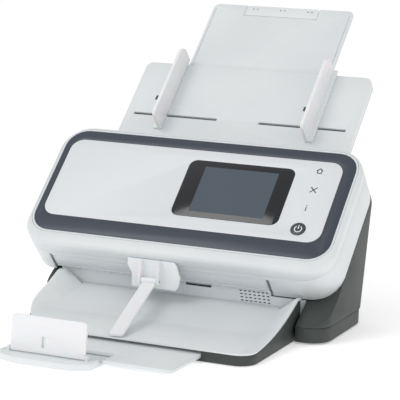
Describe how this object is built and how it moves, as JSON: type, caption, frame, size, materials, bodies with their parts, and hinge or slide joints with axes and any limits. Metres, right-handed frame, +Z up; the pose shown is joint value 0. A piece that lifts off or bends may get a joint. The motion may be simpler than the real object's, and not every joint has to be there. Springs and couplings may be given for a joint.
{
  "type": "document scanner",
  "caption": "Desktop document scanner: tilted hinged front cover with a touch display, folding input tray with side guides, and a pull-out output tray with an end stop.",
  "frame": {"origin": "centre of the overall box in plan, on the surface that the feet stand on", "axes": "+X to the right seen from the front, +Y to the back, +Z up"},
  "size_m": [0.312, 0.4692, 0.2795],
  "materials": {
    "white_plastic": "satin moulded",
    "grey_plastic": "satin moulded",
    "bezel_plastic": "satin",
    "dark_plastic": "fine texture",
    "frosted_plastic": "frosted",
    "black_glass": "polished",
    "display_glass": "polished",
    "scan_glass": "polished",
    "steel": "rolled",
    "rubber": "ground",
    "board_green": "solder mask",
    "black_plastic": "moulded"
  },
  "bodies": {
    "base": {"base_pan": "dark_plastic", "rear_housing": "dark_plastic", "foot_front_left": "rubber", "foot_front_right": "rubber", "foot_rear_left": "rubber", "foot_rear_right": "rubber", "hinge_plate_left": "steel", "hinge_plate_right": "steel", "paper_guide": "grey_plastic", "lower_scan_glass": "scan_glass", "lower_sensor_bar": "black_plastic", "exit_panel": "grey_plastic", "speaker": "black_plastic", "drive_motor": "steel", "main_board": "board_green", "power_inlet": "black_plastic", "usb_port": "black_plastic", "output_tray": "white_plastic", "tray_shell": "dark_plastic"},
    "feed_roller": {"feed_roller": "rubber"},
    "drive_roller": {"drive_roller": "rubber"},
    "exit_roller": {"exit_roller": "rubber"},
    "cover": {"pod_front_shell": "white_plastic", "bezel_trim": "grey_plastic", "bezel": "bezel_plastic", "control_panel": "white_plastic", "touch_glass": "black_glass", "display_module": "display_glass", "key_board": "board_green", "pod_rear_shell": "white_plastic", "exit_strip": "grey_plastic", "cover_pin_left": "steel", "cover_pin_right": "steel", "upper_scan_glass": "scan_glass", "upper_sensor_bar": "black_plastic", "output_guide": "frosted_plastic", "arm_pin": "steel"},
    "power_button": {"power_button": "white_plastic"},
    "separation_roller": {"separation_roller": "rubber"},
    "release_button": {"release_button": "grey_plastic"},
    "hold_down_arm": {"hold_down_arm": "frosted_plastic"},
    "input_tray": {"input_tray": "white_plastic", "tray_back_cover": "white_plastic", "tray_pin_left": "steel", "tray_pin_right": "steel"},
    "guide_left": {"guide_left": "frosted_plastic"},
    "guide_right": {"guide_right": "frosted_plastic"},
    "guide_pinion": {"guide_pinion": "grey_plastic"},
    "input_extension": {"input_extension": "white_plastic"},
    "flip_tab": {"flip_tab": "white_plastic"},
    "output_extension": {"output_extension": "white_plastic"},
    "extension_tongue": {"extension_tongue": "white_plastic"},
    "end_stop": {"end_stop": "frosted_plastic"}
  },
  "joints": [
    {"name": "cover_hinge", "type": "hinge", "parent": "base", "child": "cover", "pos_m": [0, -0.02612, 0.05285], "axis": [1, 0, 0], "range_deg": [0, 40]},
    {"name": "arm_hinge", "type": "hinge", "parent": "cover", "child": "hold_down_arm", "pos_m": [0, -0.04912, 0.041], "axis": [1, 0, 0], "range_deg": [-54, 2]},
    {"name": "power_button_push", "type": "slide", "parent": "cover", "child": "power_button", "axis": [0, 0.6815, -0.7318], "range_m": [0, 0.0008], "stiffness_N_per_m": 100},
    {"name": "release_button_push", "type": "slide", "parent": "cover", "child": "release_button", "axis": [0, -0.7318, -0.6815], "range_m": [0, 0.002], "stiffness_N_per_m": 100},
    {"name": "separation_roller_spin", "type": "hinge", "parent": "cover", "child": "separation_roller", "pos_m": [0, 0.03682, 0.11146], "axis": [1, 0, 0], "continuous": true},
    {"name": "feed_roller_spin", "type": "hinge", "parent": "base", "child": "feed_roller", "pos_m": [0, 0.05201, 0.09514], "axis": [1, 0, 0], "continuous": true},
    {"name": "drive_roller_spin", "type": "hinge", "parent": "base", "child": "drive_roller", "pos_m": [0, 0.03345, 0.07692], "axis": [1, 0, 0], "continuous": true},
    {"name": "exit_roller_spin", "type": "hinge", "parent": "base", "child": "exit_roller", "pos_m": [0, 0.00298, 0.04508], "axis": [1, 0, 0], "continuous": true},
    {"name": "input_tray_hinge", "type": "hinge", "parent": "base", "child": "input_tray", "pos_m": [0, 0.08948, 0.14001], "axis": [1, 0, 0], "range_deg": [0, 40]},
    {"name": "guide_left_slide", "type": "slide", "parent": "input_tray", "child": "guide_left", "axis": [1, 0, 0], "range_m": [-0.028, 0.05]},
    {"name": "guide_right_slide", "type": "slide", "parent": "input_tray", "child": "guide_right", "axis": [1, 0, 0], "range_m": [-0.05, 0.028]},
    {"name": "guide_pinion_spin", "type": "hinge", "parent": "input_tray", "child": "guide_pinion", "pos_m": [0, 0.11914, 0.16803], "axis": [0, -0.6815, 0.7318], "range_deg": [-360, 205]},
    {"name": "input_extension_slide", "type": "slide", "parent": "input_tray", "child": "input_extension", "axis": [0, 0.7318, 0.6815], "range_m": [-0.055, 0]},
    {"name": "flip_tab_hinge", "type": "hinge", "parent": "input_extension", "child": "flip_tab", "pos_m": [0, 0.22514, 0.2705], "axis": [1, 0, 0], "range_deg": [0, 90]},
    {"name": "output_extension_slide", "type": "slide", "parent": "base", "child": "output_extension", "axis": [0, 1, 0], "range_m": [0, 0.036]},
    {"name": "extension_tongue_slide", "type": "slide", "parent": "output_extension", "child": "extension_tongue", "axis": [0, 1, 0], "range_m": [0, 0.024]},
    {"name": "end_stop_hinge", "type": "hinge", "parent": "extension_tongue", "child": "end_stop", "pos_m": [0, -0.21662, 0.0086], "axis": [1, 0, 0], "range_deg": [-84, 0]}
  ],
  "couplings": [
    {"joint": "arm_hinge", "follows": "cover_hinge", "ratio": -1.32},
    {"joint": "drive_roller_spin", "follows": "feed_roller_spin", "ratio": 1.2222},
    {"joint": "exit_roller_spin", "follows": "feed_roller_spin", "ratio": 1.5714},
    {"joint": "guide_right_slide", "follows": "guide_left_slide", "ratio": -1},
    {"joint": "guide_pinion_spin", "follows": "guide_left_slide", "rad_per_m": -125}
  ]
}
